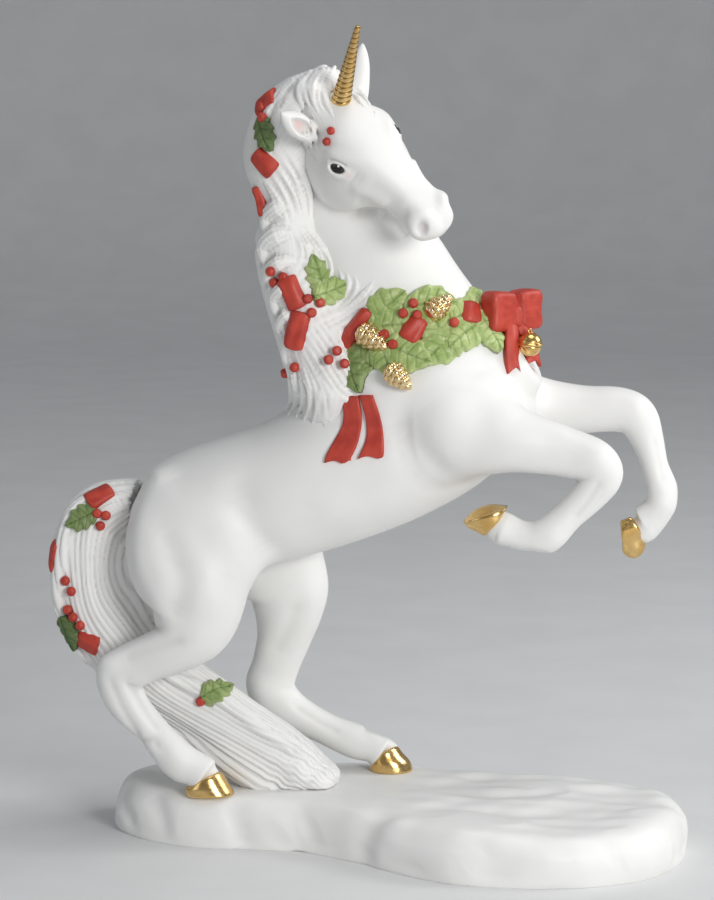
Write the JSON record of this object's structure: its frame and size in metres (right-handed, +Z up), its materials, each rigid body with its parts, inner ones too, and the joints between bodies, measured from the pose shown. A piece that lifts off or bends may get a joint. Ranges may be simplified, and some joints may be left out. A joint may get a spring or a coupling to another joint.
{
  "type": "unicorn figurine",
  "caption": "Rearing porcelain unicorn on a snow base, with a gilded spiral horn, gilded hooves and a garland of holly, cones and red ribbon; a standing ornament.",
  "frame": {"origin": "underside of the snow base, under its middle", "axes": "+Z up, +X the way the horse's body faces, -Y its right side, the side seen in the picture"},
  "size_m": [0.1798, 0.0767, 0.2233],
  "materials": {
    "bisque": "unglazed white bisque porcelain, faint pink blush",
    "gilding": "bright burnished gold gilding over porcelain",
    "holly_green": "matt green paint over porcelain, veins darker",
    "ribbon_red": "matt brick-red paint over porcelain"
  },
  "bodies": {
    "root": {"base": "bisque", "torso": "bisque", "neck": "bisque", "head": "bisque", "right_ear": "bisque", "left_ear": "bisque", "mane": "bisque", "mane_locks": "bisque", "forelock": "bisque", "tail": "bisque", "tail_locks": "bisque", "right_hind_leg": "bisque", "left_hind_leg": "bisque", "right_fore_leg": "bisque", "left_fore_leg": "bisque", "horn": "gilding", "right_hind_hoof": "gilding", "left_hind_hoof": "gilding", "right_fore_hoof": "gilding", "left_fore_hoof": "gilding", "garland_cones": "gilding", "sleigh_bell": "gilding", "garland_leaves": "holly_green", "mane_leaves": "holly_green", "tail_leaves": "holly_green", "garland_ribbons": "ribbon_red", "garland_berries": "ribbon_red", "bow_knot": "ribbon_red", "bow_loops": "ribbon_red", "bow_tails": "ribbon_red", "shoulder_streamers": "ribbon_red", "mane_ribbons": "ribbon_red", "mane_berries": "ribbon_red", "tail_ribbons": "ribbon_red", "tail_berries": "ribbon_red", "forehead_berries": "ribbon_red"}
  },
  "joints": []
}
